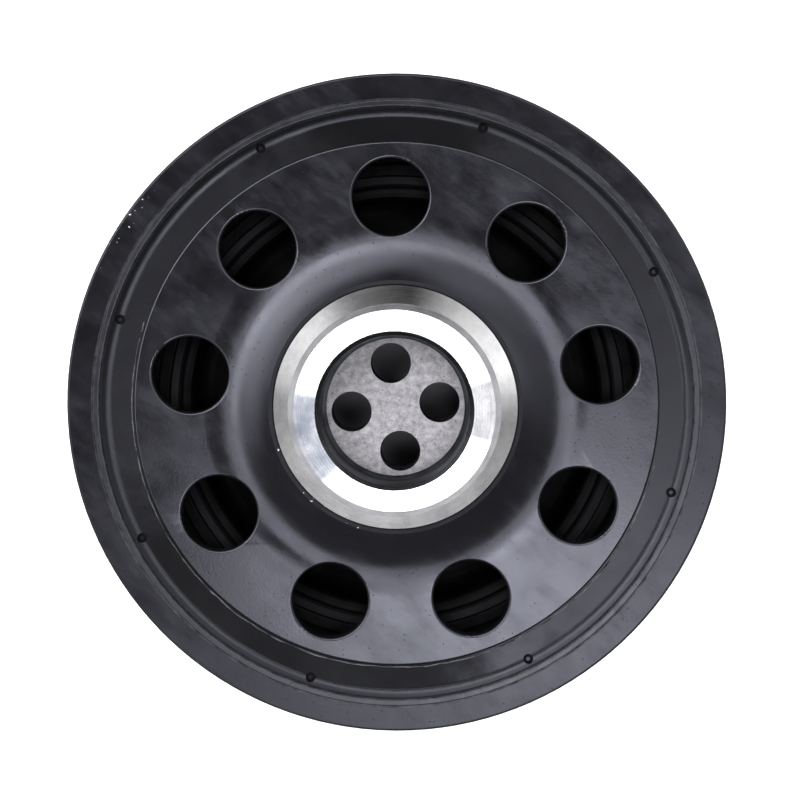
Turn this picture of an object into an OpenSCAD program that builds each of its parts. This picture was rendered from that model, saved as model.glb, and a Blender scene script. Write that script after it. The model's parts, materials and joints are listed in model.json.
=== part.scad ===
// Decoupled crankshaft pulley with a torsional damper inside, in millimetres.
// The shaft axis is Z. The belt side lies on z = 0 and the crankshaft nose points up.

/* [Belt rim] */
// Outside diameter over the lips
rim_d = 180; // [172:1:200]
// Number of belt ribs
rib_count = 6; // [5:1:8]
// Distance from one rib to the next
rib_pitch = 3.56; // [3.2:0.02:4.2]
// Depth of a rib groove
groove_depth = 2.9; // [2.2:0.1:3.2]
// Included angle of a rib groove
groove_angle = 40; // [36:1:44]
// Flat at the bottom of a rib groove
groove_root_w = 0.7; // [0.4:0.1:0.9]
// Height of the lips above the ribs
lip_h = 2.5; // [1.5:0.1:3.5]
// Width of a lip's sloping flank
lip_run = 0.92; // [0.5:0.02:1.5]
// Width of the lip at the belt side
front_lip_w = 3.4; // [2.5:0.1:6]
// Width of the plain land at the engine side
back_land_w = 5.4; // [4:0.1:9]
// Steel between the groove bottoms and the bore
rim_wall = 3.9; // [3:0.1:5]
// Width of the end face at the engine side
end_face_w = 7.1; // [6:0.1:7.5]
// Thickness of the flange that closes the belt side
flange_t = 4; // [3:0.1:5]
// How far the flange reaches inward from the bore
flange_w = 14.2; // [12:0.1:15]
// Radius that eases the outer edges
rim_edge_r = 0.8; // [0.3:0.1:1.2]

/* [Coupling sleeve] */
// Wall of the sleeve
sleeve_t = 1.6; // [1:0.1:2]
// How far the sleeve reaches below the rubber
sleeve_over = 0.6; // [0.4:0.1:1.2]
// Depth of the sleeve's end below the rim's end face
sleeve_sink = 0.4; // [0.3:0.1:1]
// Radius that eases the sleeve's ends
sleeve_edge_r = 0.3; // [0.2:0.1:0.5]

/* [Decoupling rubber] */
// Width of the rubber band between dish and sleeve
rubber_w = 9.1; // [7:0.1:12]
// Step from the dish down to the rubber
rubber_step = 0.7; // [0.5:0.1:1.5]
// Width over which the rubber climbs to the sleeve
climb_w = 2.8; // [2:0.1:4.5]
// Height that the rubber climbs to the sleeve
climb_h = 1; // [0.8:0.1:1.6]
// Width of the flat that the mould leaves at the top of the climb
climb_land = 0.3; // [0.2:0.1:0.6]
// Depth of the hollow moulded into the back of the rubber
rubber_hollow = 1.2; // [0.5:0.1:2]
// Adhesive film between rubber and metal that can turn against each other
bond_film = 0.05; // [0.03:0.01:0.2]
// Number of moulding pin marks
pin_count = 8; // [4:1:12]
// Diameter of a pin mark
pin_d = 2.7; // [1.5:0.1:3.2]
// Depth of a pin mark below the flat of the rubber
pin_depth = 0.5; // [0.2:0.1:1]
// Diameter of the nub left in the middle of a pin mark
nub_d = 1.1; // [0.6:0.1:1.3]
// Distance from the sleeve to the middle of a pin mark
pin_inset = 2.1; // [1.8:0.1:3.5]
// Turn of the first pin mark from +X
pin_angle = 27.6; // [0:0.1:45]

/* [Carrier dish] */
// Sheet thickness
sheet_t = 4; // [3:0.1:5]
// Depth of the dish's flat below the rim's end face
dish_sink = 2.5; // [1.5:0.1:5]
// Number of punched holes
hole_count = 9; // [6:1:10]
// Diameter of a punched hole
hole_d = 20.8; // [14:0.1:22]
// Steel between a punched hole and the dish's edge
hole_edge = 4.7; // [3:0.1:7]
// Radius that the punch rolls over at a hole's mouth
hole_roll_r = 0.8; // [0.3:0.1:1.2]
// Turn of the first punched hole from +X
hole_angle = 91.4; // [0:0.1:120]
// Width over which the dish climbs to its collar
trumpet_w = 15.5; // [10:0.5:15.5]
// Height that the dish climbs to its collar
trumpet_rise = 5; // [3:0.1:6.5]
// Radius that the punch rolls over at the dish's outer edge
dish_edge_r = 0.7; // [0.3:0.1:1.2]
// Width of the collar's top edge
collar_edge_w = 1.4; // [1:0.1:2]
// Bevel at the mouth of the collar's bore
collar_bevel = 0.4; // [0.3:0.1:0.9]

/* [Hub] */
// Diameter of the shoulder that carries the dish
seat_d = 66.2; // [62:0.2:70]
// Width of the ledge under the dish
ledge_w = 3; // [2:0.1:5]
// Height of the nose above the rim's end face
nose_rise = 15; // [11:0.5:20]
// Diameter of the nose
nose_d = 56.6; // [53:0.2:59]
// Bevel at the nose's outer edge
nose_bevel = 1.6; // [0.8:0.1:2.5]
// Slope of the turned shoulder below the nose
shoulder_slope = 40; // [25:1:45]
// Diameter of the spigot recess in the nose
spigot_d = 40; // [38:0.1:43]
// Depth of the spigot recess
spigot_depth = 15; // [9:0.5:18]
// Bevel at the mouth of the spigot recess
spigot_bevel = 1.1; // [0.5:0.1:1.8]
// Width of the relief groove round the recess floor
relief_w = 1.2; // [0.6:0.1:1.2]
// Depth of the relief groove
relief_depth = 1; // [0.5:0.1:1.5]
// How far the relief groove cuts under the recess wall
relief_under = 0.3; // [0.1:0.1:0.6]
// Number of bolt holes
bolt_count = 4; // [3:1:5]
// Diameter of a bolt hole
bolt_hole_d = 11; // [9:0.1:12]
// Diameter of the bolt circle
bolt_circle_d = 24.1; // [22:0.1:25]
// Turn of the first bolt hole from +X
bolt_angle = 6.1; // [0:0.1:45]
// Thickness of the pad under the bolt heads
pad_t = 11; // [8:0.1:14]
// Diameter of the recess for the bolt heads
head_recess_d = 46; // [44:0.2:48]
// Bevel at the mouth of the bolt head recess
head_bevel = 1.2; // [0.5:0.1:2]
// Height of the hub's front face above the belt side
hub_front_z = 3; // [1:0.1:5]
// Thickness of the web between core and carrier
web_t = 6.5; // [5:0.1:9]
// Radius between web, core and carrier
web_fillet_r = 4; // [2:0.1:6]
// Wall of the damper carrier
carrier_wall = 3; // [2.5:0.1:5]
// Bevel on the carrier's edges
carrier_bevel = 0.5; // [0.2:0.1:0.8]

/* [Torsional damper] */
// Width of the inertia ring
inertia_w = 15.9; // [12:0.1:18]
// Thickness of the damper rubber
damper_t = 3; // [2:0.1:5]
// Depth of the damper rubber below the inertia ring's ends
damper_sink = 1; // [0.8:0.1:2]
// Width of the groove moulded in the damper rubber beside the carrier
damper_groove_w = 1; // [0.5:0.1:1.4]
// Depth of that groove
damper_groove_depth = 2; // [1:0.1:3]
// Room between the inertia ring and the dish
dish_clear = 2.5; // [1.5:0.1:4]
// Width of the inertia ring's raised inner land
land_w = 3.6; // [2:0.1:6]
// Height of the raised inner land
land_h = 2; // [1:0.1:3]
// Radius on the land's edges
land_edge_r = 0.8; // [0.3:0.1:0.9]
// Bevel on the inertia ring's lower edges
inertia_bevel = 1; // [0.5:0.1:2]

/* [Slide bearing] */
// Thickness of the bush
bush_t = 1.5; // [1:0.1:2]
// Thickness of the thrust ring
thrust_t = 1.2; // [0.8:0.1:2]
// Width of the thrust ring
thrust_w = 11; // [8:0.1:11.5]
// Running clearance on the inertia ring
run_gap = 0.3; // [0.1:0.05:0.5]

/* [Hidden] */
$fn = 180;
// Overlap that lets a cut pass cleanly through a face
cut = 1;
// Longest straight step and widest turn in a profile's round
arc_step = 1.2;
arc_turn = 12;

// Levels along the axis, from the belt side up
track_z = front_lip_w + lip_run;
rim_w = track_z + rib_count * rib_pitch + lip_run + back_land_w;
sleeve_top = rim_w - sleeve_sink;
dish_z = rim_w - dish_sink;
dish_under = dish_z - sheet_t;
sleeve_bottom = dish_under - sleeve_over;
collar_z = dish_z + trumpet_rise;
rubber_z = dish_z - rubber_step;
inertia_bottom = flange_t + thrust_t + run_gap;
inertia_top = dish_under - dish_clear;
nose_z = rim_w + nose_rise;
floor_z = nose_z - spigot_depth;
pad_z = floor_z - pad_t;
web_z = hub_front_z + web_t;

// Radii, from the rim inward
rim_r = rim_d / 2;
crest_r = rim_r - lip_h;
root_r = crest_r - groove_depth;
bore_r = root_r - rim_wall;
flange_r = bore_r - flange_w;
sleeve_r = rim_r - end_face_w;
sleeve_bore_r = sleeve_r - sleeve_t;
rubber_r = sleeve_bore_r - bond_film;
dish_r = rubber_r - rubber_w;
hole_circle_r = dish_r - hole_edge - hole_d / 2;
bush_bore_r = bore_r - bush_t;
inertia_r = bush_bore_r - run_gap;
inertia_bore_r = inertia_r - inertia_w;
damper_r = inertia_bore_r - bond_film;
carrier_r = damper_r - damper_t;
carrier_bore_r = carrier_r - carrier_wall;

// Radii, from the shaft outward
spigot_r = spigot_d / 2;
floor_r = spigot_r - relief_w;
head_recess_r = head_recess_d / 2;
nose_r = nose_d / 2;
seat_r = seat_d / 2;
ledge_r = seat_r + ledge_w;
collar_r = seat_r + collar_edge_w;
trumpet_r = collar_r + trumpet_w;

// The dish climbs to its collar on one arc about a centre above the flat
bend_r = (pow(trumpet_w, 2) + pow(trumpet_rise, 2)) / (2 * trumpet_rise);
bend_centre = [trumpet_r, dish_z + bend_r];
bend_angle = asin(trumpet_w / bend_r);
ledge_angle = asin((trumpet_r - ledge_r) / (bend_r + sheet_t));
ledge_z = bend_centre.y - (bend_r + sheet_t) * cos(ledge_angle);
shoulder_z = collar_z + (seat_r - nose_r) * tan(shoulder_slope);

// Points on an arc about a centre, from one angle to another
function arc(centre, r, from, to) =
    let (
        turn = abs(to - from),
        steps = max(ceil(turn / arc_turn), ceil(turn * PI / 180 * r / arc_step))
    )
    [for (i = [0:steps])
        let (a = from + (to - from) * i / steps)
        centre + r * [cos(a), sin(a)]];

// One rib groove in the rim's outline, starting at height z
function groove(z) =
    let (
        middle = z + rib_pitch / 2,
        half_root = groove_root_w / 2,
        half_mouth = half_root + groove_depth * tan(groove_angle / 2)
    )
    [
        [crest_r, middle - half_mouth],
        [root_r, middle - half_root],
        [root_r, middle + half_root],
        [crest_r, middle + half_mouth]
    ];

// Copies of the children round the shaft
module around_shaft(count, radius, first) {
    for (i = [0:count - 1])
        rotate(first + i * 360 / count)
            translate([radius, 0, 0])
                children();
}

// A plain ring between two radii and two heights
module ring(inner, outer, bottom, top) {
    rotate_extrude()
        translate([inner, bottom])
            square([outer - inner, top - bottom]);
}

// Forged steel, turned all over: nose, bolt pad, web and damper carrier in one piece
module hub() {
    carrier_top = inertia_top - land_edge_r;
    outline = concat(
        [
            [0, pad_z],
            [0, floor_z],
            [floor_r, floor_z],
            [floor_r, floor_z - relief_depth],
            [spigot_r + relief_under, floor_z - relief_depth],
            [spigot_r + relief_under, floor_z + relief_under],
            [spigot_r, floor_z + relief_under],
            [spigot_r, nose_z - spigot_bevel],
            [spigot_r + spigot_bevel, nose_z],
            [nose_r - nose_bevel, nose_z],
            [nose_r, nose_z - nose_bevel],
            [nose_r, shoulder_z],
            [seat_r, collar_z],
            [seat_r, ledge_z],
            [ledge_r, ledge_z]
        ],
        arc([ledge_r + web_fillet_r, web_z + web_fillet_r], web_fillet_r, 180, 270),
        arc([carrier_bore_r - web_fillet_r, web_z + web_fillet_r], web_fillet_r, 270, 360),
        [
            [carrier_bore_r, carrier_top - carrier_bevel],
            [carrier_bore_r + carrier_bevel, carrier_top],
            [carrier_r - carrier_bevel, carrier_top],
            [carrier_r, carrier_top - carrier_bevel],
            [carrier_r, hub_front_z + carrier_bevel],
            [carrier_r - carrier_bevel, hub_front_z],
            [head_recess_r + head_bevel, hub_front_z],
            [head_recess_r, hub_front_z + head_bevel],
            [head_recess_r, pad_z]
        ]
    );
    color("#b9babd")
        difference() {
            rotate_extrude()
                polygon(outline);
            around_shaft(bolt_count, bolt_circle_d / 2, bolt_angle)
                translate([0, 0, pad_z - cut])
                    cylinder(d = bolt_hole_d, h = pad_t + 2 * cut);
        }
}

// A punched hole with its rolled-over mouth at z = 0, clear of the dish's climb above it
module punched_hole() {
    mouth_r = hole_d / 2 + hole_roll_r;
    above = trumpet_rise + cut;
    translate([0, 0, -sheet_t - cut])
        cylinder(d = hole_d, h = sheet_t + cut + above);
    rotate_extrude()
        difference() {
            translate([0, -hole_roll_r])
                square([mouth_r, hole_roll_r + above]);
            translate([mouth_r, -hole_roll_r])
                circle(hole_roll_r);
        }
}

// Pressed steel dish, drawn up to a collar that sits on the hub's shoulder
module carrier_dish() {
    outline = concat(
        [[seat_r, collar_z - collar_bevel], [seat_r + collar_bevel, collar_z]],
        arc(bend_centre, bend_r, 270 - bend_angle, 270),
        arc([dish_r - dish_edge_r, dish_z - dish_edge_r], dish_edge_r, 90, 0),
        [[dish_r, dish_under]],
        arc(bend_centre, bend_r + sheet_t, 270, 270 - ledge_angle),
        [[seat_r, ledge_z]]
    );
    color("#2a2a2d")
        difference() {
            rotate_extrude()
                polygon(outline);
            around_shaft(hole_count, hole_circle_r, hole_angle)
                translate([0, 0, dish_z])
                    punched_hole();
        }
}

// Section of the rubber: flat beside the dish, hollow towards the sleeve and at the back
module rubber_section() {
    climb_r = rubber_r - climb_land - climb_w;
    front_r = (pow(climb_w, 2) + pow(climb_h, 2)) / (2 * climb_h);
    back_r = (pow(rubber_w / 2, 2) + pow(rubber_hollow, 2)) / (2 * rubber_hollow);
    difference() {
        polygon([
            [dish_r, dish_under],
            [rubber_r, dish_under],
            [rubber_r, rubber_z + climb_h],
            [climb_r, rubber_z + climb_h],
            [climb_r, rubber_z],
            [dish_r, rubber_z]
        ]);
        translate([climb_r, rubber_z + front_r])
            circle(front_r);
        translate([dish_r + rubber_w / 2, dish_under + rubber_hollow - back_r])
            circle(back_r);
    }
}

// Moulded rubber band that climbs to the sleeve, with the marks of the mould's pins
module decoupling_rubber() {
    pin_floor = rubber_z - pin_depth;
    color("#3a3a3c")
        difference() {
            rotate_extrude()
                rubber_section();
            around_shaft(pin_count, rubber_r - pin_inset, pin_angle)
                translate([0, 0, pin_floor])
                    difference() {
                        cylinder(d = pin_d, h = pin_depth + climb_h + cut);
                        translate([0, 0, -cut])
                            cylinder(d = nub_d, h = pin_depth + cut);
                    }
        }
}

// Thin sleeve bonded round the rubber and pressed into the rim
module coupling_sleeve() {
    inner = sleeve_bore_r + sleeve_edge_r;
    outer = sleeve_r - sleeve_edge_r;
    low = sleeve_bottom + sleeve_edge_r;
    high = sleeve_top - sleeve_edge_r;
    outline = concat(
        arc([inner, low], sleeve_edge_r, 180, 270),
        arc([outer, low], sleeve_edge_r, 270, 360),
        arc([outer, high], sleeve_edge_r, 0, 90),
        arc([inner, high], sleeve_edge_r, 90, 180)
    );
    color("#4a4a4e")
        rotate_extrude()
            polygon(outline);
}

// Turned steel rim with the belt track, a flange at the belt side and a seat for the sleeve
module belt_rim() {
    grooves = [for (i = [0:rib_count - 1]) each groove(track_z + i * rib_pitch)];
    land_z = rim_w - back_land_w;
    outline = concat(
        arc([rim_r - rim_edge_r, rim_edge_r], rim_edge_r, 270, 360),
        [[rim_r, front_lip_w], [crest_r, track_z]],
        grooves,
        [[crest_r, land_z - lip_run], [rim_r, land_z]],
        arc([rim_r - rim_edge_r, rim_w - rim_edge_r], rim_edge_r, 0, 90),
        [
            [sleeve_r + sleeve_sink, rim_w],
            [sleeve_r, sleeve_top],
            [sleeve_r, sleeve_bottom],
            [bore_r, sleeve_bottom],
            [bore_r, flange_t],
            [flange_r, flange_t]
        ],
        arc([flange_r + rim_edge_r, rim_edge_r], rim_edge_r, 180, 270)
    );
    color("#232326")
        rotate_extrude()
            polygon(outline);
}

// Polymer bush pressed into the rim, which turns on the inertia ring
module radial_bush() {
    color("#8a7a5c")
        ring(bush_bore_r, bore_r, flange_t + thrust_t, inertia_top);
}

// Polymer ring on the rim's flange, which carries the inertia ring's end thrust
module thrust_ring() {
    color("#9c8c6c")
        ring(bore_r - thrust_w, bore_r, flange_t, flange_t + thrust_t);
}

// Cast iron ring of the damper, with a raised land beside the rubber
module inertia_ring() {
    land_r = inertia_bore_r + land_w;
    shelf_z = inertia_top - land_h;
    outline = concat(
        [
            [inertia_bore_r, inertia_bottom + inertia_bevel],
            [inertia_bore_r + inertia_bevel, inertia_bottom],
            [inertia_r - inertia_bevel, inertia_bottom],
            [inertia_r, inertia_bottom + inertia_bevel],
            [inertia_r, shelf_z],
            [land_r, shelf_z]
        ],
        arc([land_r - land_edge_r, inertia_top - land_edge_r], land_edge_r, 0, 90),
        arc([inertia_bore_r + land_edge_r, inertia_top - land_edge_r], land_edge_r, 90, 180)
    );
    color("#5c5e60")
        rotate_extrude()
            polygon(outline);
}

// Rubber ring bonded between the hub's carrier and the inertia ring
module damper_rubber() {
    bottom = inertia_bottom + damper_sink;
    top = inertia_top - damper_sink;
    groove_r = carrier_r + damper_groove_w;
    color("#1e1e20")
        rotate_extrude()
            polygon([
                [carrier_r, bottom + damper_groove_depth],
                [groove_r, bottom],
                [damper_r, bottom],
                [damper_r, top],
                [groove_r, top],
                [carrier_r, top - damper_groove_depth]
            ]);
}

hub();
carrier_dish();
decoupling_rubber();
coupling_sleeve();
belt_rim();
radial_bush();
thrust_ring();
inertia_ring();
damper_rubber();
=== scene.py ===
# %% [markdown]
# # A decoupled crankshaft pulley, seen from its engine side
# The pulley's shape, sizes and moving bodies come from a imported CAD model, which is loaded as a fixed frame.
# This lesson dresses that frame: it sets the camera and the light, gives every piece the finish that the real
# one has, and adds the ragged lip of rubber that the mould leaves beside the dish.

# %% Load the frame
import json
import math
import random

import bpy
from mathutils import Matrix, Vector
from mathutils.bvhtree import BVHTree


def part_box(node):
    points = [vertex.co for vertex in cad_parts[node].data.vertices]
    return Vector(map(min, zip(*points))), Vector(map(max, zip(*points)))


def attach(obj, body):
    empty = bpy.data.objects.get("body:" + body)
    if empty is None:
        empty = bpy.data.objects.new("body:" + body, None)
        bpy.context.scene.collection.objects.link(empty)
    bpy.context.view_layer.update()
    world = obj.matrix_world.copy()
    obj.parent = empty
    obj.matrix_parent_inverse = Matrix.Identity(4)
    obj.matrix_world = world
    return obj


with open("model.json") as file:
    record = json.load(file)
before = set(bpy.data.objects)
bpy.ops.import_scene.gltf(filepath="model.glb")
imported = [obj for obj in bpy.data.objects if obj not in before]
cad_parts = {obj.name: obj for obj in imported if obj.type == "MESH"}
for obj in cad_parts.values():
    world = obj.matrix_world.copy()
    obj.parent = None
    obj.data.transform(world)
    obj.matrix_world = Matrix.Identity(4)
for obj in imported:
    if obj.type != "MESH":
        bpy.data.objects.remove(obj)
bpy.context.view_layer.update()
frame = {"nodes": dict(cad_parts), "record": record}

# Blender works in metres here, and a maker thinks in millimetres
MM = 0.001

# %% [markdown]
# ## Colours and nodes
# Colours are written as the hex values that a screen shows. Shaders want linear light, so one function
# undoes the screen's curve. A second adds one node with its settings and links, because every material
# below is a short chain of nodes. A third turns the real size of a pattern's features into the scale of a
# texture. A fourth starts an empty material, and the last lays colours over each other, as stains lie on
# steel.

# %% Small helpers
NODES = frame["nodes"]


def linear(hex_colour):
    """An sRGB hex colour as linear red, green, blue and alpha."""
    parts = [int(hex_colour[i:i + 2], 16) / 255 for i in (1, 3, 5)]
    # The curve of the sRGB standard: straight near black, and a power above that
    return [c / 12.92 if c <= 0.04045 else ((c + 0.055) / 1.055) ** 2.4 for c in parts] + [1.0]


def add(tree, kind, inputs=None, **settings):
    """Adds a node to a tree.

    kind: a shader node's type without ShaderNode in front, or the whole type of another node.
    inputs: values by socket. Another node's output is linked, and any other value is set on the socket.
    """
    made = tree.nodes.new(kind if "Node" in kind else "ShaderNode" + kind)
    for name, value in settings.items():
        setattr(made, name, value)
    for socket, value in (inputs or {}).items():
        if isinstance(value, bpy.types.NodeSocket):
            tree.links.new(value, made.inputs[socket])
        else:
            made.inputs[socket].default_value = value
    return made


def per_mm(size):
    """The texture scale at which a pattern's features are about this many millimetres wide."""
    return 1 / (size * MM)


def new_material(name):
    """An empty node material, with its tree."""
    made = bpy.data.materials.new(name)
    made.use_nodes = True
    made.node_tree.nodes.clear()
    return made, made.node_tree


def lay_colours(tree, ground, layers):
    """A ground colour with layers over it, as an output.

    A layer is the share of the ground that it covers and its hex colour.
    """
    colour = linear(ground)
    for share, shade in layers:
        # The Mix node has a set of sockets for each kind of value: 6, 7 and output 2 are the set for colours
        mixed = add(tree, "Mix", {0: share, 6: colour, 7: linear(shade)}, data_type="RGBA")
        colour = mixed.outputs[2]
    return colour


print("nodes in the frame:", ", ".join(sorted(NODES)))

# %% [markdown]
# ## Sizes that the finishes need
# A finish often ends at an edge: the bright face of the nose, the floor of the recess, the edge of the
# dish. These sizes could be typed in, but a change in the CAD model would then leave the finishes behind.
# So the record gives the recess and its floor, the boxes give the outer edges, and a ray dropped on a
# node gives the height of a face at a chosen radius.

# %% Measure the frame
mounts = {mount["name"]: mount for mount in frame["record"]["mounts"]}
SPIGOT_R = mounts["spigot_recess"]["dims"]["r_mm"] * MM
FLOOR_Z = mounts["crank_bolts"]["pos_m"][2]
NOSE_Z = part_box("hub")[1].z
COLLAR_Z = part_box("carrier_dish")[1].z
DISH_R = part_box("carrier_dish")[1].x
RIM_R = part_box("belt_rim")[1].x
RIM_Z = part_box("belt_rim")[1].z
SLEEVE_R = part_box("coupling_sleeve")[1].x
ABOVE_THE_PART_MM = 1000
BESIDE_THE_DISH_MM = 1


def top_of(name, radius):
    """Height of a node's upper surface at a radius along +X, from a ray dropped on it."""
    tree = BVHTree.FromObject(NODES[name], bpy.context.evaluated_depsgraph_get())
    hit = tree.ray_cast(Vector((radius, 0, ABOVE_THE_PART_MM * MM)), Vector((0, 0, -1)))[0]
    return hit.z


RUBBER_Z = top_of("decoupling_rubber", DISH_R + BESIDE_THE_DISH_MM * MM)
print(f"heights in mm: recess floor {FLOOR_Z / MM:.2f}, rubber {RUBBER_Z / MM:.2f}, nose {NOSE_Z / MM:.2f}")

# %% [markdown]
# ## Camera
# The photograph looks almost straight down the shaft, from a little above the middle. A camera can be
# placed by eye, but here the circles give it away: rings at different heights shift against each other,
# and that shift gives the distance, so lens and place were worked out from them. Up in the picture is +Y.

# %% Set up the camera
EYE_MM = (9.3, 33.9, 477.4)
EYE_TURN_DEG = (-4.11, 1.04, 0.0)
LENS_MM = 73.8
SENSOR_MM = 36.0
CLIP_START_MM = 10

scene = bpy.context.scene
camera_data = bpy.data.cameras.new("camera")
camera_data.lens = LENS_MM
camera_data.sensor_width = SENSOR_MM
camera_data.clip_start = CLIP_START_MM * MM
camera = bpy.data.objects.new("camera", camera_data)
camera.location = [v * MM for v in EYE_MM]
camera.rotation_euler = [math.radians(v) for v in EYE_TURN_DEG]
scene.collection.objects.link(camera)
scene.camera = camera
print(f"camera {EYE_MM[2]:.0f} mm up, lens {LENS_MM} mm")

# %% [markdown]
# ## Paper under the pulley
# The pulley lies on white paper in a light tent. The paper glows a little, as it does when light comes
# through it, which keeps its shadow pale. No light comes through under the pulley itself, and a disc of
# painted shade, grey on the paper under the hub, keeps the bolt holes dark. One flat square does for all
# three, with its colour and glow set by radius.

# %% Lay the paper
FLOOR_HALF_MM = 20000
PAPER_GLOW = 0.55
PAPER_CLOUD_MM = 3
PAPER_ROUGH = 0.9
GLOW_FADE_MM = 4
# Radius of the disc of painted shade under the hub
SHADE_UNDER_HUB_R_MM = 62

# The Standard view shows colours as they are set, so white paper stays white
scene.view_settings.view_transform = "Standard"

# Sized white paper is matt, and its fibres lie in faint clouds
paper, tree = new_material("matt_white_paper")
spot = add(tree, "TexCoord").outputs["Object"]
fibre = add(tree, "TexNoise", {"Vector": spot, "Scale": per_mm(PAPER_CLOUD_MM), "Detail": 3.0})
away = add(tree, "VectorMath", {0: spot}, operation="LENGTH").outputs["Value"]
glow = add(tree, "MapRange", {
    "Value": away,
    "From Min": RIM_R - GLOW_FADE_MM * MM,
    "From Max": RIM_R,
    "To Max": PAPER_GLOW,
})
# Painted shade: the paper under the hub is grey, so the bolt holes stay dark
shade_under_hub = add(tree, "Math", {0: away, 1: SHADE_UNDER_HUB_R_MM * MM}, operation="LESS_THAN")
layers = [(fibre.outputs["Fac"], "#fafafa"), (shade_under_hub.outputs[0], "#86868c")]
sheet = add(tree, "BsdfPrincipled", {
    "Base Color": lay_colours(tree, "#f4f4f3", layers),
    "Roughness": PAPER_ROUGH,
    "Emission Color": linear("#ffffff"),
    "Emission Strength": glow.outputs[0],
})
add(tree, "OutputMaterial", {"Surface": sheet.outputs[0]})

reach = FLOOR_HALF_MM * MM
corners = [(-reach, -reach, 0), (reach, -reach, 0), (reach, reach, 0), (-reach, reach, 0)]
floor_mesh = bpy.data.meshes.new("paper_floor")
floor_mesh.from_pydata(corners, [], [(0, 1, 2, 3)])
floor_mesh.materials.append(paper)
floor = bpy.data.objects.new("paper_floor", floor_mesh)
scene.collection.objects.link(floor)
print("paper laid,", 2 * FLOOR_HALF_MM, "mm square")

# %% [markdown]
# ## Light tent
# The tent has lit panels with soft edges and dark gaps between them, where the camera and its stand are.
# A glossy black part shows little but these panels, so they shape the whole picture. Lamps would show in
# the gloss as hard squares, so the panels are drawn on the world instead, where an edge can be as soft as
# it has to be. Each is named by where it hangs as the camera sees it, and placed by its compass direction
# and its tilt from straight up, so that it is easy to say which panel a surface mirrors. A gap is a panel
# that takes light away.

# %% Light the tent
TENT_CLOTH = 0.2
# name: compass direction from +X, tilt from straight up, half width and soft edge in degrees, brightness
TENT_PANELS = {
    "roof": (160, 5, 32, 5, 5.0),
    "camera_opening": (170, 6, 20, 3, -8.0),
    "window_at_the_bottom": (271, 9.5, 7, 6, 13.0),
    "window_lower_right": (305, 17, 5, 4, 8.0),
    "upper_left": (125, 38, 23, 14, 4.5),
    "upper_right": (65, 44, 19, 12, 1.0),
    "left_wall": (165, 48, 18, 18, 4.0),
    "right_wall": (35, 60, 35, 15, 0.8),
    "right_horizon": (20, 86, 18, 16, 0.8),
    "left_horizon": (148, 84, 22, 14, 1.0),
    "horizon": (0, 180, 97, 5, 0.45),
    "gap_at_the_top": (82, 82, 17, 17, -0.2),
}

world = bpy.data.worlds.new("light_tent")
world.use_nodes = True
tree = world.node_tree
tree.nodes.clear()
toward = add(tree, "TexCoord").outputs["Generated"]
light = TENT_CLOTH
for compass, tilt, half, soft, brightness in TENT_PANELS.values():
    flat = math.sin(math.radians(tilt))
    middle = (
        flat * math.cos(math.radians(compass)),
        flat * math.sin(math.radians(compass)),
        math.cos(math.radians(tilt)),
    )
    along = add(tree, "VectorMath", {0: toward, 1: middle}, operation="DOT_PRODUCT")
    off_middle = add(tree, "Math", {0: along.outputs["Value"]}, operation="ARCCOSINE")
    panel = add(tree, "MapRange", {
        "Value": off_middle.outputs[0],
        "From Min": math.radians(max(half - soft, 0)),
        "From Max": math.radians(half + soft),
        "To Min": brightness,
        "To Max": 0.0,
    }, interpolation_type="SMOOTHSTEP")
    light = add(tree, "Math", {0: light, 1: panel.outputs[0]}, operation="ADD").outputs[0]
lit = add(tree, "Math", {0: light, 1: 0.0}, operation="MAXIMUM")
sky = add(tree, "Background", {"Color": linear("#ffffff"), "Strength": lit.outputs[0]})
add(tree, "OutputWorld", {"Surface": sky.outputs[0]})
scene.world = world
print("tent lit:", ", ".join(TENT_PANELS))

# %% [markdown]
# ## Places on the pulley
# Most marks on this part follow its turning: tool lines run round the axis, and dirt gathers in a sector.
# A flat unwrapping would bend them, so a material works out where a point lies as a radius and an angle,
# from the object's own coordinates.

# %% Radius, angle and sectors


def turned_place(tree):
    """The point in metres, its distance from the axis and its angle from +X in radians, as outputs."""
    point = add(tree, "TexCoord").outputs["Object"]
    axes = add(tree, "SeparateXYZ", {0: point}).outputs
    flat = add(tree, "CombineXYZ", {0: axes["X"], 1: axes["Y"]}).outputs[0]
    radius = add(tree, "VectorMath", {0: flat}, operation="LENGTH").outputs["Value"]
    angle = add(tree, "Math", {0: axes["Y"], 1: axes["X"]}, operation="ARCTAN2").outputs[0]
    return point, radius, angle


def sector(tree, angle, middle_deg, half_deg, soft_deg):
    """One inside a sector round the axis and zero outside it, with a soft border, as an output."""
    off = add(tree, "Math", {0: angle, 1: math.radians(middle_deg)}, operation="SUBTRACT")
    near = add(tree, "Math", {0: off.outputs[0]}, operation="COSINE")
    return add(tree, "MapRange", {
        "Value": near.outputs[0],
        "From Min": math.cos(math.radians(half_deg + soft_deg)),
        "From Max": math.cos(math.radians(half_deg - soft_deg)),
    }, interpolation_type="SMOOTHSTEP").outputs[0]


print("places are found by radius and angle")

# %% [markdown]
# ## Marks on painted steel
# The dish, the rim and the sleeve were dipped in black paint that is drawn onto the steel by a current
# and then baked. A rag leaves long cloudy streaks of dried dirt on it, fine grit sticks to the film, and
# at an edge the film flakes off. Each mark could be painted by hand, but noise that is worked out in
# space needs no wrapping round the dish's climb, so each is a short function that says where the mark is.

# %% Wipe marks and grit
WIPE_MM = 7
WIPE_STRETCH = 3.0
WIPE_TURN_RAD = 0.9
# The noise values between which a wipe mark fades in
WIPE_NOISE = (0.46, 0.68)
# Real grit is about 0.1 mm across. It is drawn three times as coarse, so that a speck fills a pixel.
GRIT_R_MM = 0.168
GRIT_CELL_MM = 1.2
GRIT_KEPT = 0.16


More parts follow.
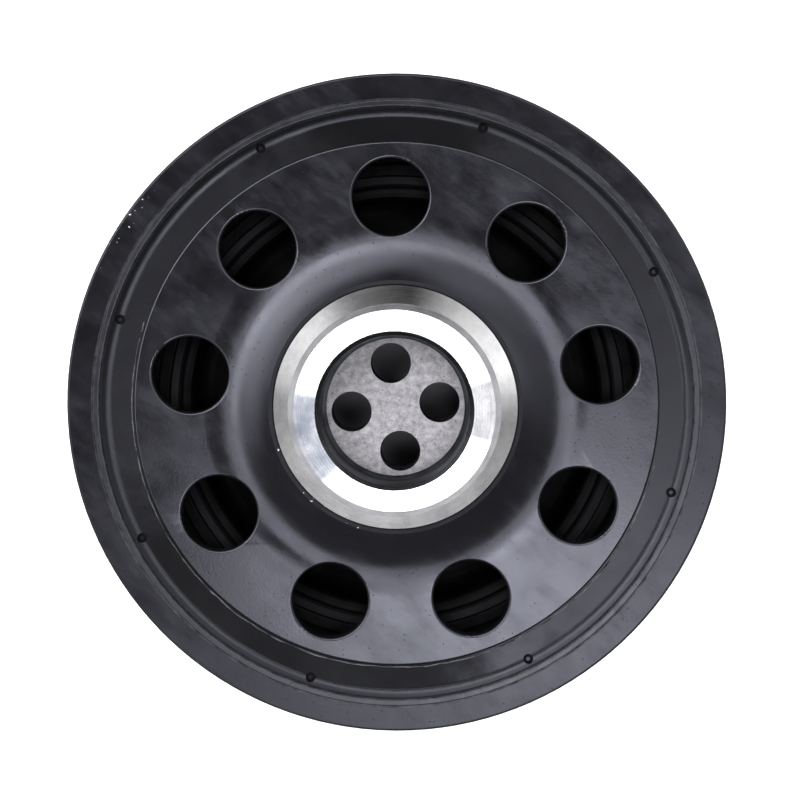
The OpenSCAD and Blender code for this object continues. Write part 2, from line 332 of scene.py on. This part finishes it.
def wipe_marks(tree, point):
    """The share of dried dirt at a point, in long cloudy streaks that lie aslant, as an output."""
    along = add(tree, "Mapping", {
        "Vector": point,
        "Rotation": (0, 0, WIPE_TURN_RAD),
        "Scale": (1.0, WIPE_STRETCH, 1.0),
    }, vector_type="TEXTURE")
    streaks = add(tree, "TexNoise", {
        "Vector": along.outputs[0],
        "Scale": per_mm(WIPE_MM),
        "Detail": 7.0,
        "Roughness": 0.7,
    })
    return add(tree, "MapRange", {
        "Value": streaks.outputs["Fac"],
        "From Min": WIPE_NOISE[0],
        "From Max": WIPE_NOISE[1],
    }).outputs[0]


def grit_specks(tree, point):
    """One on a speck of grit and zero elsewhere, as an output.

    Each cell of the pattern has a speck, which is kept only where the cell's own random number is high.
    """
    cells = add(tree, "TexVoronoi", {"Vector": point, "Scale": per_mm(GRIT_CELL_MM)})
    near = add(tree, "Math", {
        0: cells.outputs["Distance"],
        1: GRIT_R_MM / GRIT_CELL_MM,
    }, operation="LESS_THAN")
    lottery = add(tree, "SeparateColor", {0: cells.outputs["Color"]})
    drawn = add(tree, "Math", {0: lottery.outputs[0], 1: 1 - GRIT_KEPT}, operation="GREATER_THAN")
    return add(tree, "Math", {0: near.outputs[0], 1: drawn.outputs[0]}, operation="MULTIPLY").outputs[0]


print(f"wipe marks {WIPE_MM} mm wide, grit {2 * GRIT_R_MM:.2f} mm across")

# %% Chips
CHIP_MM = 1.1
CHIP_DEPTH_MM = 1.5
CHIP_SOFT_DEG = 3
# The coat is gone where the noise is higher than this
CHIP_NOISE = 0.68


def chipped(tree, point, radius, angle, chips):
    """One where the coat has flaked off the engine side of an edge and zero elsewhere, as an output."""
    inner_mm, middle_deg, half_deg = chips
    flake = add(tree, "TexNoise", {
        "Vector": point,
        "Scale": per_mm(CHIP_MM),
        "Detail": 3.0,
        "Roughness": 0.6,
    })
    gone = add(tree, "Math", {0: flake.outputs["Fac"], 1: CHIP_NOISE}, operation="GREATER_THAN")
    outside = add(tree, "Math", {0: radius, 1: inner_mm * MM}, operation="GREATER_THAN")
    height = add(tree, "SeparateXYZ", {0: point}).outputs["Z"]
    engine_side = add(tree, "Math", {0: height, 1: RIM_Z - CHIP_DEPTH_MM * MM}, operation="GREATER_THAN")
    here = gone.outputs[0]
    for share in (
        outside.outputs[0],
        engine_side.outputs[0],
        sector(tree, angle, middle_deg, half_deg, CHIP_SOFT_DEG),
    ):
        here = add(tree, "Math", {0: here, 1: share}, operation="MULTIPLY").outputs[0]
    return here


print(f"chips {CHIP_MM} mm wide, down to {CHIP_DEPTH_MM} mm below the rim's face")

# %% Orange peel, tool lines and the swell of the press
PEEL_DEPTH_MM = 0.05
PEEL_STRENGTH = 0.2


def press_swell(tree, radius, swell_mm):
    """The normal of the soft swell that the press leaves at the foot of a bend, as an output."""
    inner, outer, rise = swell_mm
    climb = add(tree, "MapRange", {
        "Value": radius,
        "From Min": inner * MM,
        "From Max": outer * MM,
        "To Min": rise * MM,
        "To Max": 0.0,
    }, interpolation_type="SMOOTHSTEP")
    return add(tree, "Bump", {"Height": climb.outputs[0], "Strength": 1.0, "Distance": 1.0}).outputs[0]


def coat_relief(tree, point, radius, peel_mm, tool_mm, swell_mm):
    """The normal of the coat, from its orange peel, the lathe's lines and the swell, as an output."""
    peel = add(tree, "TexNoise", {"Vector": point, "Scale": per_mm(peel_mm), "Detail": 3.0})
    height = peel.outputs["Fac"]
    if tool_mm:
        lines = add(tree, "TexNoise", {
            "W": radius,
            "Scale": per_mm(tool_mm),
            "Detail": 2.0,
        }, noise_dimensions="1D")
        height = add(tree, "Math", {0: height, 1: lines.outputs["Fac"]}, operation="ADD").outputs[0]
    relief = {"Height": height, "Strength": PEEL_STRENGTH, "Distance": PEEL_DEPTH_MM * MM}
    if swell_mm:
        relief["Normal"] = press_swell(tree, radius, swell_mm)
    return add(tree, "Bump", relief).outputs[0]


print(f"orange peel {PEEL_DEPTH_MM} mm deep")

# %% [markdown]
# ## Black dip coat
# The paint flows out to a thin satin film with a faint orange peel, so it mirrors soft light as a wide glow.
# Handling leaves smudges, which change the gloss more than the colour. A second, clear layer could give the
# gloss, but this paint is one film, so one shader with an uneven roughness is true to it.

# %% Build up the coat
# What the black surfaces mirror is a little bluish, as in the photograph
SHEEN_TINT = "#e4e6f8"
WIPE_COLOUR = "#131316"
WIPE_DULL = 0.09
# Grit is black and matt, so it shows only where the coat glows
GRIT_COLOUR = "#0a0a0b"
GRIT_DULL = 0.7
CHIP_COLOUR = "#c9c9cc"
# The noise values over which the gloss changes from its low to its high end
WEAR_NOISE = (0.3, 0.7)


def dip_coat(name, dark, pale, gloss, sheen, peel_mm, smudge_mm, tool_mm=0.0, swell_mm=None, chips=None):
    """Black dip coat on steel.

    dark, pale: hex colours; gloss: low and high roughness; sheen: strength of the mirrored light, 0.5 for a
    closed film and less for a chalky one; peel, smudge and tool: sizes of these marks in mm.
    swell_mm: inner and outer radius and height of the soft swell that the press leaves at the foot of a bend.
    chips: inner radius in mm, then middle and half width in degrees, of a sector where the coat is chipped on
    the engine side.
    """
    made, tree = new_material(name)
    point, radius, angle = turned_place(tree)
    wiped = wipe_marks(tree, point)
    grit = grit_specks(tree, point)

    smudge = add(tree, "TexNoise", {
        "Vector": point,
        "Scale": per_mm(smudge_mm),
        "Detail": 4.0,
        "Roughness": 0.6,
    })
    layers = [(smudge.outputs["Fac"], pale), (wiped, WIPE_COLOUR), (grit, GRIT_COLOUR)]
    if chips:
        layers.append((chipped(tree, point, radius, angle, chips), CHIP_COLOUR))

    wear = add(tree, "TexNoise", {"Vector": point, "Scale": per_mm(smudge_mm / 3), "Detail": 5.0})
    rough = add(tree, "MapRange", {
        "Value": wear.outputs["Fac"],
        "From Min": WEAR_NOISE[0],
        "From Max": WEAR_NOISE[1],
        "To Min": gloss[0],
        "To Max": gloss[1],
    }).outputs[0]
    for share, dulled in ((wiped, WIPE_DULL), (grit, GRIT_DULL)):
        rough = add(tree, "Math", {0: share, 1: dulled, 2: rough}, operation="MULTIPLY_ADD").outputs[0]

    coat = add(tree, "BsdfPrincipled", {
        "Base Color": lay_colours(tree, dark, layers),
        "Roughness": rough,
        "Specular IOR Level": sheen,
        "Specular Tint": linear(SHEEN_TINT),
        "Normal": coat_relief(tree, point, radius, peel_mm, tool_mm, swell_mm),
    })
    add(tree, "OutputMaterial", {"Surface": coat.outputs[0]})
    return made


print("the coat has smudges, wipe marks, grit, chips, orange peel and tool lines")

# %% Make the coats
# On the pressed sheet the film is closed and smooth: a satin black in which the tent's windows glow
dish_coat = dip_coat("black_dip_coat_on_pressed_steel", "#0c0c0f", "#131316", (0.12, 0.21), 0.5, 0.7, 28,
                     swell_mm=(45.5, 53.0, 0.28))
# On the turned rim the film is chalkier and mirrors less, and its edge is chipped to the bare steel. The
# lathe's lines under it are about 0.2 mm apart, and are drawn coarser so that they show.
rim_coat = dip_coat("black_dip_coat_on_turned_steel", "#0b0b0e", "#121215", (0.16, 0.24), 0.28, 0.7, 22,
                    tool_mm=0.9, chips=(86.5, 147, 7))
# On the edge of the drawn sleeve it is duller and paler: a thin grey line
sleeve_coat = dip_coat("black_dip_coat_on_drawn_steel", "#101012", "#19191c", (0.22, 0.30), 0.4, 0.8, 15)
# The press tool rubbed the end of the dish's collar: a chalky dark land, with bright chips where the tool bit
collar_coat = dip_coat("rubbed_dip_coat_on_pressed_steel", "#0e0e10", "#1a1a1d", (0.4, 0.55), 0.15, 0.7, 9,
                       chips=(33.0, 222, 34))
print("coats:", dish_coat.name, rim_coat.name, sleeve_coat.name, collar_coat.name)

# %% [markdown]
# ## Moulded rubber, painted shade and a grey seam
# The rubber was pressed into the gap between dish and sleeve in a steel mould, so its skin is smooth but
# dull. Release agent leaves cloudy patches, and dirt takes the sheen away in some places. The painted
# shade in the drilled holes and deep inside, and the grey walls of a seam, look much the same, so one
# function makes them all, and each gets its own gloss.

# %% Build up a dull black skin
# The grain of a mould is about 0.1 mm wide. It is drawn coarser, so that it breaks up the mirror
SKIN_MM = 0.7
SKIN_DEPTH_MM = 0.05
SKIN_STRENGTH = 0.10
# The noise values between which a cloudy patch fades in
CLOUD_NOISE = (0.35, 0.65)
DIRT_RAGGED_RAD = 0.5
SHEEN_UNDER_DIRT = 0.2


def dull_black(name, dark, pale, gloss, sheen, cloud_mm, dirty=()):
    """A dull black skin.

    dark, pale: hex colours; gloss: low and high roughness; sheen: strength of the mirrored light, about half
    of a smooth skin's 0.5, because filler grains break the mirror up; cloud_mm: size of the cloudy patches.
    dirty: middle, half width and soft edge, in degrees, of sectors where dirt has taken the sheen away.
    """
    made, tree = new_material(name)
    point, _, angle = turned_place(tree)
    cloud = add(tree, "TexNoise", {
        "Vector": point,
        "Scale": per_mm(cloud_mm),
        "Detail": 5.0,
        "Roughness": 0.6,
    }).outputs["Fac"]
    patch = {"Value": cloud, "From Min": CLOUD_NOISE[0], "From Max": CLOUD_NOISE[1]}
    share = add(tree, "MapRange", patch)
    rough = add(tree, "MapRange", {**patch, "To Min": gloss[1], "To Max": gloss[0]})
    skin = add(tree, "TexNoise", {"Vector": point, "Scale": per_mm(SKIN_MM), "Detail": 2.0})
    relief = add(tree, "Bump", {
        "Height": skin.outputs["Fac"],
        "Strength": SKIN_STRENGTH,
        "Distance": SKIN_DEPTH_MM * MM,
    })

    shake = add(tree, "MapRange", {"Value": cloud, "To Min": -DIRT_RAGGED_RAD, "To Max": DIRT_RAGGED_RAD})
    ragged = add(tree, "Math", {0: angle, 1: shake.outputs[0]}, operation="ADD")
    for middle, half, soft in dirty:
        dirt = sector(tree, ragged.outputs[0], middle, half, soft)
        left = add(tree, "MapRange", {"Value": dirt, "To Min": 1.0, "To Max": SHEEN_UNDER_DIRT})
        sheen = add(tree, "Math", {0: sheen, 1: left.outputs[0]}, operation="MULTIPLY").outputs[0]

    rubber = add(tree, "BsdfPrincipled", {
        "Base Color": lay_colours(tree, dark, [(share.outputs[0], pale)]),
        "Roughness": rough.outputs[0],
        "Specular IOR Level": sheen,
        "Specular Tint": linear(SHEEN_TINT),
        "Normal": relief.outputs[0],
    })
    add(tree, "OutputMaterial", {"Surface": rubber.outputs[0]})
    return made


print(f"skin grain drawn {SKIN_MM} mm wide")

# %% Make the rubbers, the painted shade and the grey seam
# The band has a faint sheen, which dirt takes away in one sector at the bottom and a short one at the top
coupling_rubber = dull_black("moulded_nitrile_rubber", "#0b0b0c", "#111112", (0.22, 0.30), 0.24, 18,
                             dirty=((244, 46, 14), (88, 16, 10)))
# Where the band climbs to the sleeve it is rubbed by hands and benches: more sheen, in a soft ring
rubbed_rubber = dull_black("rubbed_nitrile_rubber", "#0b0b0c", "#111112", (0.24, 0.34), 0.32, 18)
# Deep inside, the rubber is painted almost black as painted shade, with hardly any sheen
damper_rubber = dull_black("moulded_damper_rubber_in_painted_shade", "#060607", "#0b0b0c", (0.65, 0.8), 0.08, 12)
# A torn edge is rough, and pale where it was stretched: a broken grey line
torn_rubber = dull_black("torn_rubber_flash", "#131314", "#5a5a5d", (0.40, 0.55), 0.24, 4)
# The bolt holes are lined with painted shade: dull black
bolt_hole_shade = dull_black("painted_shade_in_drilled_holes", "#070708", "#121213", (0.45, 0.6), 0.24, 4)
# The walls of the seam beside the sleeve are a paler grey, which draws a fine grey line
seam_grey = dull_black("grey_in_a_press_seam", "#242427", "#434347", (0.6, 0.8), 0.24, 3)
print("rubbers:", coupling_rubber.name, rubbed_rubber.name, damper_rubber.name, torn_rubber.name)
# Painted shade in the bolt holes, and the grey seam
print("dirt:", bolt_hole_shade.name, seam_grey.name)

# %% [markdown]
# ## Turned steel and iron
# The nose was faced and turned in a lathe and left bare. The tool leaves grooves that run round the axis,
# far finer than a picture can show. They smear a reflection across themselves, so a ring of turned steel
# shows bright and dark wedges that point at the axis. As relief the grooves would be lost between the
# pixels, so the shader's anisotropy does the smearing, with a tangent round Z.

# %% Build up turned metal
GROOVE_DEPTH_MM = 0.02
GROOVE_STRENGTH = 0.03
# The shader counts a whole turn as one
QUARTER_TURN = 0.25
# The noise values between which a stain fades in
STAIN_NOISE = (0.35, 0.6)
# The share of a darker wedge that is left where the steel shines through
MARBLED = 0.7


def turned_metal(name, dark, pale, gloss, streak_mm, stain_mm, anisotropy, dark_wedges=()):
    """Bare turned metal.

    dark, pale: hex colours; gloss: low and high roughness; streak and stain: sizes of these marks in mm.
    dark_wedges: middle, half width and soft edge in degrees, and hex colour, of darker sectors.
    """
    made, tree = new_material(name)
    point, radius, angle = turned_place(tree)
    stain = add(tree, "TexNoise", {
        "Vector": point,
        "Scale": per_mm(stain_mm),
        "Detail": 6.0,
        "Roughness": 0.65,
    }).outputs["Fac"]
    share = add(tree, "MapRange", {"Value": stain, "From Min": STAIN_NOISE[0], "From Max": STAIN_NOISE[1]})
    layers = [(share.outputs[0], pale)]
    for middle, half, soft, shade in dark_wedges:
        marbled = add(tree, "MapRange", {
            "Value": stain,
            "From Min": CLOUD_NOISE[0],
            "From Max": CLOUD_NOISE[1],
            "To Min": 1.0,
            "To Max": MARBLED,
        })
        wedge = sector(tree, angle, middle, half, soft)
        patch = add(tree, "Math", {0: wedge, 1: marbled.outputs[0]}, operation="MULTIPLY")
        layers.append((patch.outputs[0], shade))

    streak = add(tree, "TexNoise", {
        "W": radius,
        "Scale": per_mm(streak_mm),
        "Detail": 3.0,
    }, noise_dimensions="1D").outputs["Fac"]
    rough = add(tree, "MapRange", {
        "Value": streak,
        "From Min": WEAR_NOISE[0],
        "From Max": WEAR_NOISE[1],
        "To Min": gloss[0],
        "To Max": gloss[1],
    })
    relief = add(tree, "Bump", {
        "Height": streak,
        "Strength": GROOVE_STRENGTH,
        "Distance": GROOVE_DEPTH_MM * MM,
    })
    round_axis = add(tree, "Tangent", direction_type="RADIAL", axis="Z")
    metal = add(tree, "BsdfPrincipled", {
        "Base Color": lay_colours(tree, dark, layers),
        "Metallic": 1.0,
        "Roughness": rough.outputs[0],
        "Anisotropic": anisotropy,
        "Anisotropic Rotation": QUARTER_TURN,
        "Tangent": round_axis.outputs[0],
        "Normal": relief.outputs[0],
    })
    add(tree, "OutputMaterial", {"Surface": metal.outputs[0]})
    return made


print(f"grooves {GROOVE_DEPTH_MM} mm deep")

# %% Make the turned metals
# The grooves are about 0.1 mm apart. They are drawn five times as coarse or more, so that some of them show.

# The faced end of the nose is almost white, with a grey wedge toward +X and a blue-grey stained one toward -X
nose_steel = turned_metal("faced_bright_steel", "#c4c5c9", "#d8d8d9", (0.22, 0.32), 0.6, 9, 0.75,
                          dark_wedges=((0, 18, 1.5, "#757578"), (197, 28, 3, "#666a75")))
# The shoulder was turned finer, so its wedges are sharper
shoulder_steel = turned_metal("fine_turned_steel", "#b4b4b6", "#cacacb", (0.10, 0.16), 0.5, 9, 0.3)
# The bevel round the nose is painted shade, darker than the shoulder: a grey ring between two bright ones
shaded_bevel_steel = turned_metal("turned_bevel_steel_in_painted_shade", "#6a6a6d", "#7e7e81", (0.10, 0.16), 0.5, 9, 0.3)
# The wall of the recess is coarse, and its dark grey is painted shade
shaded_bore_steel = turned_metal("bored_steel_in_painted_shade", "#26282a", "#3a3c3f", (0.35, 0.5), 0.5, 6, 0.5)
# Inside the damper, steel and iron are painted almost black as painted shade, and only their edges show
shaded_body_steel = turned_metal("turned_steel_in_painted_shade", "#070708", "#0e0e0f", (0.5, 0.65), 0.8, 14, 0.4)
shaded_ring_iron = turned_metal("grey_iron_in_painted_shade", "#060607", "#0c0c0d", (0.55, 0.7), 0.7, 8, 0.3)
print("bright metals:", nose_steel.name, shoulder_steel.name, shaded_bevel_steel.name)
print("dark metals:", shaded_bore_steel.name, shaded_body_steel.name, shaded_ring_iron.name)

# %% [markdown]
# ## Stained recess floor
# The floor of the recess was milled flat and then handled with oily fingers: it is a dull, mottled grey
# with dark spots, with none of the nose's shine. The stain covers about half of the steel, so the shader
# is about half metal, which gives that look with one shader instead of a mix of two.

# %% Make the floor
MOTTLE_MM = 1.8
SPOT_MM = 0.8
SPOT_DEPTH_MM = 0.05
SPOT_STRENGTH = 0.2
# The noise values between which the mottled stain and a dark spot fade in
MOTTLE_NOISE = (0.38, 0.62)
SPOT_NOISE = (0.61, 0.67)
FLOOR_METAL = 0.55
FLOOR_ROUGH = 0.55


def milled_floor():
    """Dull milled steel with a mottled stain and dark spots."""
    made, tree = new_material("milled_stained_steel")
    point = add(tree, "TexCoord").outputs["Object"]
    mottle = add(tree, "TexNoise", {
        "Vector": point,
        "Scale": per_mm(MOTTLE_MM),
        "Detail": 8.0,
        "Roughness": 0.85,
    })
    stained = add(tree, "MapRange", {
        "Value": mottle.outputs["Fac"],
        "From Min": MOTTLE_NOISE[0],
        "From Max": MOTTLE_NOISE[1],
    })
    spots = add(tree, "TexNoise", {
        "Vector": point,
        "Scale": per_mm(SPOT_MM),
        "Detail": 4.0,
        "Roughness": 0.7,
    })
    spotty = add(tree, "MapRange", {
        "Value": spots.outputs["Fac"],
        "From Min": SPOT_NOISE[0],
        "From Max": SPOT_NOISE[1],
    })
    layers = [(stained.outputs[0], "#949297"), (spotty.outputs[0], "#2f2e32")]
    relief = add(tree, "Bump", {
        "Height": spots.outputs["Fac"],
        "Strength": SPOT_STRENGTH,
        "Distance": SPOT_DEPTH_MM * MM,
    })
    floor_metal = add(tree, "BsdfPrincipled", {
        "Base Color": lay_colours(tree, "#605e62", layers),
        "Metallic": FLOOR_METAL,
        "Roughness": FLOOR_ROUGH,
        "Normal": relief.outputs[0],
    })
    add(tree, "OutputMaterial", {"Surface": floor_metal.outputs[0]})
    return made


recess_floor = milled_floor()
print("floor:", recess_floor.name)

# %% [markdown]
# ## Slide polymer
# The bush and the thrust ring are turned from a filled slide polymer: warm grey-brown, dull and faintly
# grained. They are hidden in the whole pulley and show when someone takes it apart, so a simple grain is
# enough.

# %% Make the polymer
# The filler's grains are too fine to show, so they are drawn coarser
FILLER_MM = 1.2
POLYMER_GLOSS = (0.45, 0.6)


def slide_polymer():
    """Turned slide polymer with a fine filler grain."""
    made, tree = new_material("turned_slide_polymer")
    point = add(tree, "TexCoord").outputs["Object"]
    grain = add(tree, "TexNoise", {"Vector": point, "Scale": per_mm(FILLER_MM), "Detail": 4.0}).outputs["Fac"]
    rough = add(tree, "MapRange", {"Value": grain, "To Min": POLYMER_GLOSS[0], "To Max": POLYMER_GLOSS[1]})
    polymer = add(tree, "BsdfPrincipled", {
        "Base Color": lay_colours(tree, "#7d6f54", [(grain, "#9a8b6a")]),
        "Roughness": rough.outputs[0],
    })
    add(tree, "OutputMaterial", {"Surface": polymer.outputs[0]})
    return made


bush_polymer = slide_polymer()
print("polymer:", bush_polymer.name)

# %% [markdown]
# ## Dress the frame
# Each node gets its finish. The hub is one forging with several finishes. It could be cut up into a piece for
# each, but the real one is whole, so its faces are sorted by where they lie: the bright nose, its bevel, the
# shoulder, the bored wall, the stained floor, the drilled holes and the rest.

# %% Sort the hub's faces
SEAM = 0.05 * MM
# Borders between the finishes, a little beside the real edges so that no face lies on one
NOSE_RING_R = SPIGOT_R + 5 * MM
BEVEL_Z = NOSE_Z - 2 * MM
BORE_R = SPIGOT_R + 1 * MM
BORE_FOOT_Z = FLOOR_Z - 2 * MM
BOLT_PAD_Z = FLOOR_Z - 11.5 * MM
# The upward share of a normal, above which a face is level or only sloping
LEVEL = 0.9
SLOPING = 0.5


def paint(name, finishes):
    """Gives each face of a node the first finish whose test it passes.

    A test gets the radius and the height of the face's middle, in metres, and the face's normal.
    """
    mesh = NODES[name].data
    mesh.materials.clear()
    for material, _ in finishes:
        mesh.materials.append(material)
    counts = [0] * len(finishes)
    for face in mesh.polygons:
        middle = face.center
        radius = math.hypot(middle.x, middle.y)
        for slot, (_, test) in enumerate(finishes):
            if test(radius, middle.z, face.normal):
                face.material_index = slot
                counts[slot] += 1
                break
    print(name, {material.name: count for (material, _), count in zip(finishes, counts)})


def everywhere(radius, height, normal):
    """The test that every face passes."""
    return True


paint("hub", [
    (recess_floor, lambda r, z, n: r < SPIGOT_R and abs(z - FLOOR_Z) < SEAM and n.z > LEVEL),
    (nose_steel, lambda r, z, n: abs(z - NOSE_Z) < SEAM),
    # The bevel: the shoulder's steel painted darker, as painted shade
    (shaded_bevel_steel, lambda r, z, n: r > NOSE_RING_R and z > BEVEL_Z and n.z > SLOPING),
    (shoulder_steel, lambda r, z, n: r > NOSE_RING_R and z > COLLAR_Z - SEAM),
    # The bored wall of the recess: painted shade, dark grey
    (shaded_bore_steel, lambda r, z, n: r < BORE_R and z > BORE_FOOT_Z),
    # The walls of the bolt holes: painted shade, dull black
    (bolt_hole_shade, lambda r, z, n: r < SPIGOT_R and z > BOLT_PAD_Z and abs(n.z) < SLOPING),
    # The rest of the hub lies under the dish: painted shade, almost black
    (shaded_body_steel, everywhere),
])

# %% Dress the other nodes
# The outer radius of the flat end of the dish's collar
COLLAR_R = 34.6 * MM
EDGE = 0.5 * MM
PIN_MARK_R = DISH_R + 3 * MM
PIN_MARK_DEPTH = 1 * MM

paint("carrier_dish", [
    (collar_coat, lambda r, z, n: r < COLLAR_R and z > COLLAR_Z - EDGE),
    (dish_coat, everywhere),
])
paint("belt_rim", [
    # The seam's wall beside the sleeve is a paler grey
    (seam_grey, lambda r, z, n: r < SLEEVE_R + EDGE and RIM_Z - EDGE < z < RIM_Z - SEAM),
    (rim_coat, everywhere),
])
paint("coupling_sleeve", [
    (sleeve_coat, lambda r, z, n: n.z > LEVEL),
    # The sleeve's walls in the seam are a paler grey
    (seam_grey, everywhere),
])
paint("decoupling_rubber", [
    # The small marks that the mould's pins left get the almost black rubber, as painted shade in them
    (damper_rubber, lambda r, z, n: r > PIN_MARK_R and RUBBER_Z - PIN_MARK_DEPTH < z < RUBBER_Z - SEAM),
    (rubbed_rubber, lambda r, z, n: z > RUBBER_Z + SEAM),
    (coupling_rubber, everywhere),
])
# The damper rubber lies in the shade under the dish: painted shade, almost black
paint("damper_rubber", [(damper_rubber, everywhere)])
# The inertia ring lies under the dish: painted shade, almost black
paint("inertia_ring", [(shaded_ring_iron, everywhere)])
paint("radial_bush", [(bush_polymer, everywhere)])
paint("thrust_ring", [(bush_polymer, everywhere)])

# %% [markdown]
# ## Smooth rounds
# The CAD's rounds are made of narrow cones, which would show as rings in the gloss. More cones would cost
# faces, so a modifier joins their edges and shades them smooth, but leaves real corners sharp. A second
# modifier lets the larger face set the normal where a flat runs into a round, so that flats stay flat.

# %% Shade the rounds smooth
SHARP_DEG = 20
WELD_MM = 0.002
# How far larger faces set the normal, from 50, not at all, to 100
FLATS_WEIGHT = 80


def smooth_rounds():
    """A node group that welds a mesh's seams and shades it smooth where faces meet at a low angle."""
    group = bpy.data.node_groups.new("smooth_rounds", "GeometryNodeTree")
    for side in ("INPUT", "OUTPUT"):
        group.interface.new_socket("Geometry", in_out=side, socket_type="NodeSocketGeometry")
    source = add(group, "NodeGroupInput")
    clear = add(group, "GeometryNodeRemoveAttribute", {0: source.outputs[0], "Name": "custom_normal"})
    weld = add(group, "GeometryNodeMergeByDistance", {0: clear.outputs[0], "Distance": WELD_MM * MM})
    faces = add(group, "GeometryNodeSetShadeSmooth", {0: weld.outputs[0]}, domain="FACE")
    angle = add(group, "GeometryNodeInputMeshEdgeAngle")
    low = add(group, "FunctionNodeCompare", {
        0: angle.outputs[0],
        1: math.radians(SHARP_DEG),
    }, operation="LESS_THAN")
    edges = add(group, "GeometryNodeSetShadeSmooth", {
        0: faces.outputs[0],
        "Shade Smooth": low.outputs[0],
    }, domain="EDGE")
    add(group, "NodeGroupOutput", {0: edges.outputs[0]})
    return group


smoothing = smooth_rounds()
for obj in NODES.values():
    obj.modifiers.new("smooth_rounds", "NODES").node_group = smoothing
    flats_win = obj.modifiers.new("flats_win", "WEIGHTED_NORMAL")
    flats_win.weight = FLATS_WEIGHT
    flats_win.keep_sharp = True
print("smoothing on", len(NODES), "nodes")

# %% [markdown]
# ## Mould flash beside the dish
# Where the mould closed on the dish, a thin lip of rubber was squeezed out. It stands just clear of the
# dish's edge, uneven in width and height, torn off here and there, and catches the light as a broken
# bright line. No drawing gives its size, so it is left out of the CAD model. A ring of small
# cross-sections makes it here, each with its own height and width from a seeded walk, so that it comes
# out the same each time.

# %% Draw uneven runs
FLASH_STEPS = 900
FLASH_MIDDLE_DEG = 262
FLASH_HALF_DEG = 105
FLASH_FADE_DEG = 45
FLASH_TRIMMED = 0.025


def rough_walk(knots, seed):
    """A closed run of values between 0 and 1 that wanders smoothly between random knots."""
    draw = random.Random(seed)
    values = [draw.random() for _ in range(knots)]
    run = []
    for i in range(FLASH_STEPS):
        place = i * knots / FLASH_STEPS
        left = int(place)
        ease = (1 - math.cos(math.pi * (place - left))) / 2
        run.append(values[left] * (1 - ease) + values[(left + 1) % knots] * ease)
    return run


def kept(turn):
    """The share of the flash's height that is left at an angle.

    It is whole in one wide sector, and beyond that it was trimmed to almost nothing.
    """
    off = math.degrees(turn) - FLASH_MIDDLE_DEG
    off = abs((off + 180) % 360 - 180)
    return min(max((FLASH_HALF_DEG - off) / FLASH_FADE_DEG, FLASH_TRIMMED), 1.0)


coarse = rough_walk(knots=40, seed=3)
fine = rough_walk(knots=260, seed=8)
drift = rough_walk(knots=90, seed=5)
print(f"runs of {FLASH_STEPS} steps, from {min(coarse):.2f} to {max(coarse):.2f}")

# %% Raise the flash
FLASH_GAP_MM = 0.35
FLASH_DRIFT_MM = 0.25
FLASH_WIDTH_MM = 0.45
FLASH_NARROW = 0.6
FLASH_WIDEN = 0.6
FLASH_HEIGHT_MM = 0.5
# Shares of that height: what is left at the lowest, how far it swings, and what was torn off all round
FLASH_LOWEST = 0.12
FLASH_SWING = 1.5
FLASH_TORN = 0.15
# Where the crest starts and ends across the width
CREST_FROM = 0.2
CREST_TO = 0.6
SINK_MM = 0.05


def flash_section(i):
    """The angle of one step, and the radius and height of the flash's four corners there."""
    turn = 2 * math.pi * i / FLASH_STEPS
    # The fine run scales the coarse one by a half to one and a half
    swell = max(FLASH_LOWEST, FLASH_SWING * coarse[i] * (0.5 + fine[i]) - FLASH_TORN)
    inner = DISH_R + (FLASH_GAP_MM + FLASH_DRIFT_MM * (drift[i] - 0.5)) * MM
    width = FLASH_WIDTH_MM * (FLASH_NARROW + FLASH_WIDEN * fine[i]) * MM
    foot = RUBBER_Z - SINK_MM * MM
    crest = foot + (FLASH_HEIGHT_MM * swell + SINK_MM) * MM * kept(turn)
    return turn, [
        (inner, foot),
        (inner + CREST_FROM * width, crest),
        (inner + CREST_TO * width, crest),
        (inner + width, foot),
    ]


def raise_flash():
    """A ragged ring of rubber that stands on the rubber band beside the dish's edge."""
    points = []
    faces = []
    for i in range(FLASH_STEPS):
        turn, section = flash_section(i)
        points += [(r * math.cos(turn), r * math.sin(turn), z) for r, z in section]
        sides = len(section)
        here = i * sides
        there = (i + 1) % FLASH_STEPS * sides
        for k in range(sides):
            after = (k + 1) % sides
            faces.append((here + k, there + k, there + after, here + after))
    mesh = bpy.data.meshes.new("mould_flash")
    mesh.from_pydata(points, [], faces)
    mesh.materials.append(torn_rubber)
    mesh.validate()
    made = bpy.data.objects.new("mould_flash", mesh)
    scene.collection.objects.link(made)
    return made


flash = raise_flash()
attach(flash, "hub")
print("flash:", len(flash.data.polygons), "faces")

# %% [markdown]
# ## Finish
# The dressed pulley has to stay as large as the CAD model.

# %% Finish
print("the pulley is dressed")
